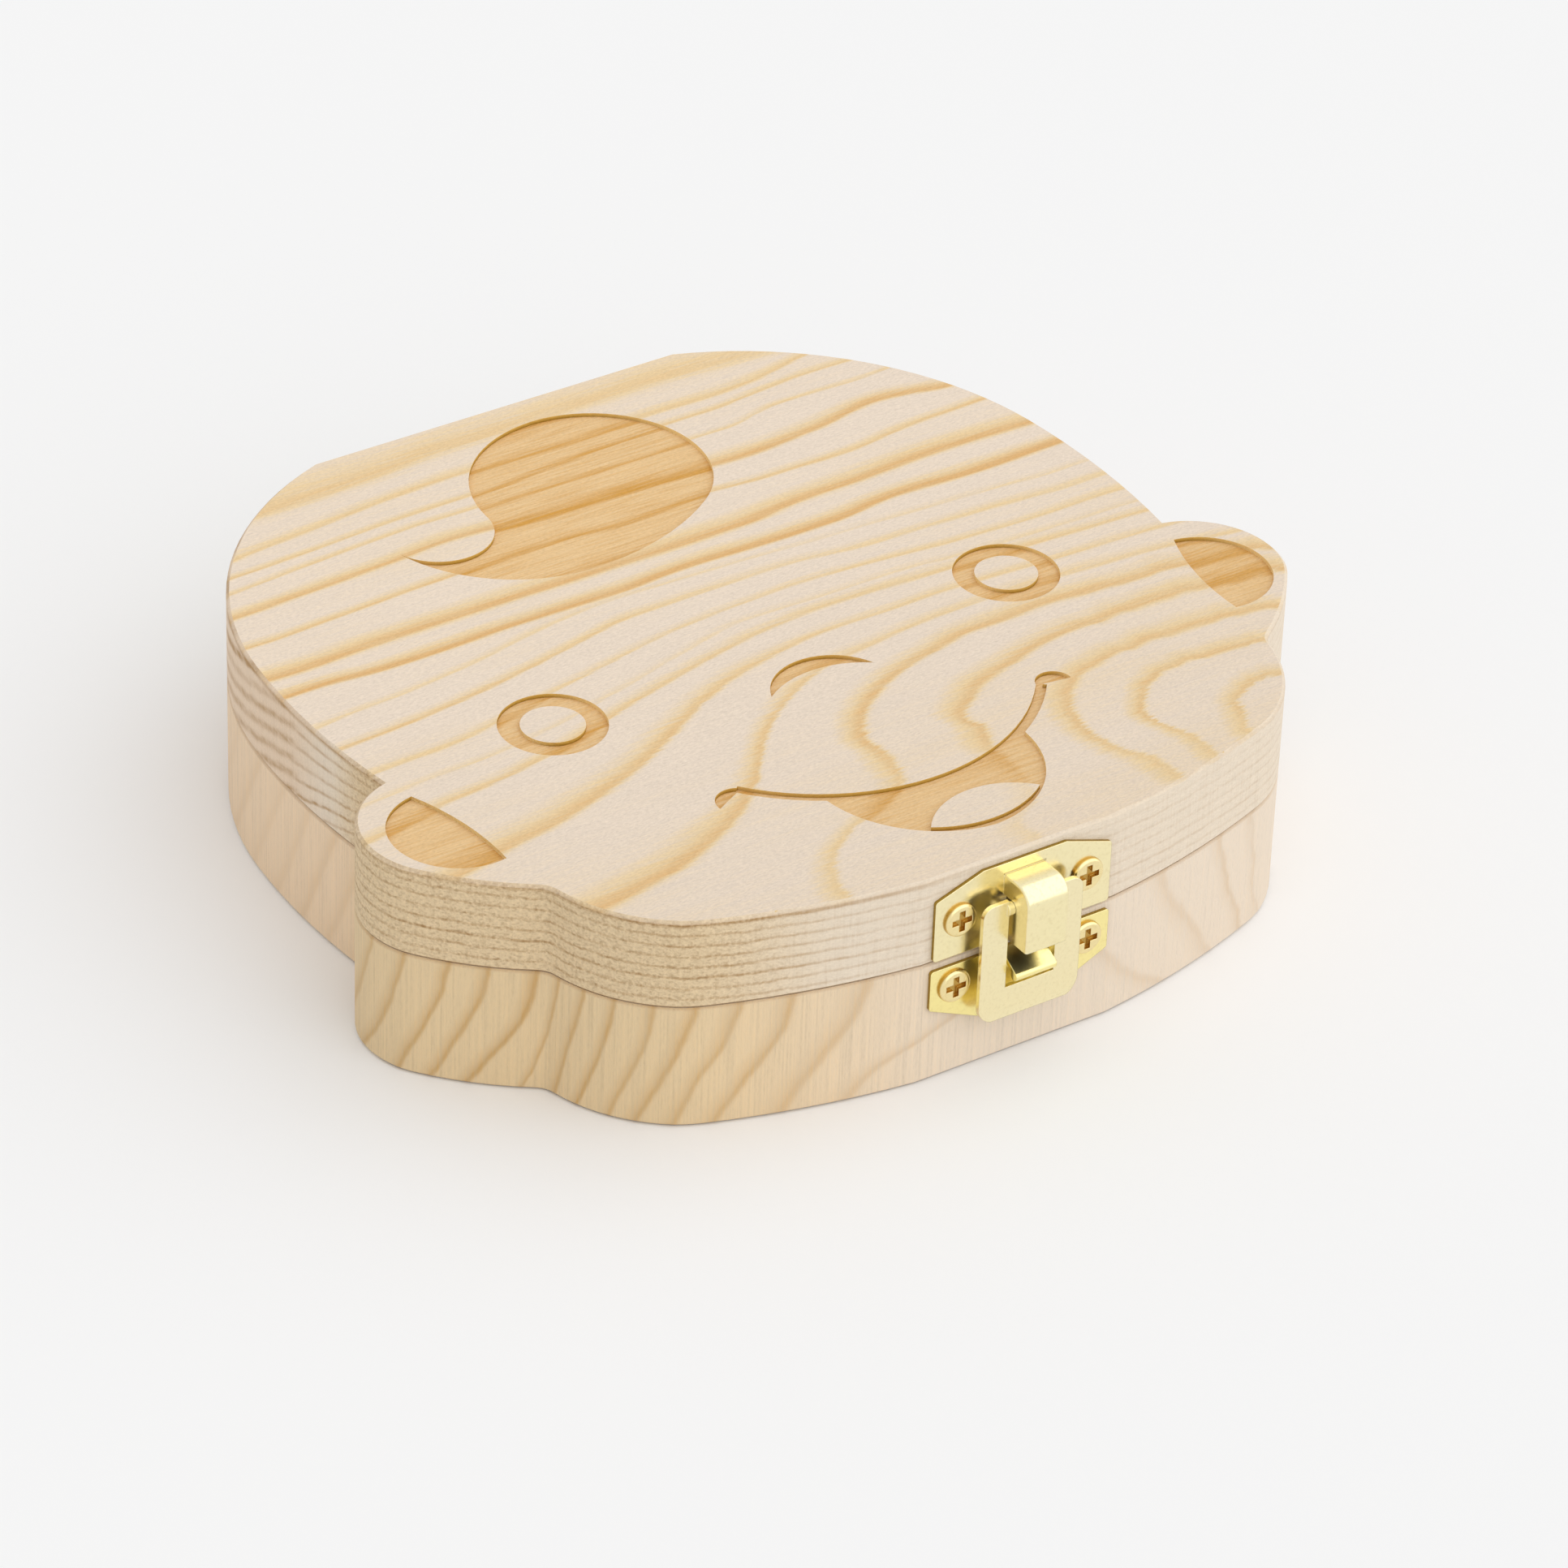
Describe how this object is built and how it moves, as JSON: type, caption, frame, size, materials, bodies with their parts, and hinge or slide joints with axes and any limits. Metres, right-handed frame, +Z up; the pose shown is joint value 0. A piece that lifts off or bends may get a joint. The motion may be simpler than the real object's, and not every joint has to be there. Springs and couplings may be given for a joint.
{
  "type": "baby tooth box",
  "caption": "Flat wooden keepsake box shaped like a child's face with ears, engraved hinged lid, wells for milk teeth and a brass toggle latch at the chin.",
  "frame": {"origin": "on the underside, midway between the chin and the crown of the wooden outline, on its mirror plane", "axes": "+Z up out of the lid, +Y from the latch to the hinges, +X across the ears"},
  "size_m": [0.122, 0.1169, 0.027],
  "materials": {
    "base_wood": "raw sanded pine",
    "lid_wood": "raw sanded pine, engraving toasted",
    "latch_brass": "bright plated",
    "hinge_brass": "bright plated",
    "screw_brass": "bright plated"
  },
  "bodies": {
    "base": {"base_board": "base_wood", "latch_lower_plate": "latch_brass", "latch_screw_3": "screw_brass", "latch_screw_4": "screw_brass", "hinge_left_base_leaf": "hinge_brass", "hinge_left_pin": "hinge_brass", "hinge_right_base_leaf": "hinge_brass", "hinge_right_pin": "hinge_brass", "hinge_screw_1": "screw_brass", "hinge_screw_2": "screw_brass", "hinge_screw_5": "screw_brass", "hinge_screw_6": "screw_brass"},
    "lid": {"lid_board": "lid_wood", "latch_upper_plate": "latch_brass", "latch_screw_1": "screw_brass", "latch_screw_2": "screw_brass", "hinge_left_lid_leaf": "hinge_brass", "hinge_right_lid_leaf": "hinge_brass", "hinge_screw_3": "screw_brass", "hinge_screw_4": "screw_brass", "hinge_screw_7": "screw_brass", "hinge_screw_8": "screw_brass"},
    "lever": {"latch_lever": "latch_brass"}
  },
  "joints": [
    {"name": "lid_hinge", "type": "hinge", "parent": "base", "child": "lid", "pos_m": [0, 0.0559, 0.01572], "axis": [-1, 0, 0], "range_deg": [0, 180]},
    {"name": "lever_swing", "type": "hinge", "parent": "lid", "child": "lever", "pos_m": [0, -0.05635, 0.0212], "axis": [-1, 0, 0], "range_deg": [0, 170]}
  ]
}
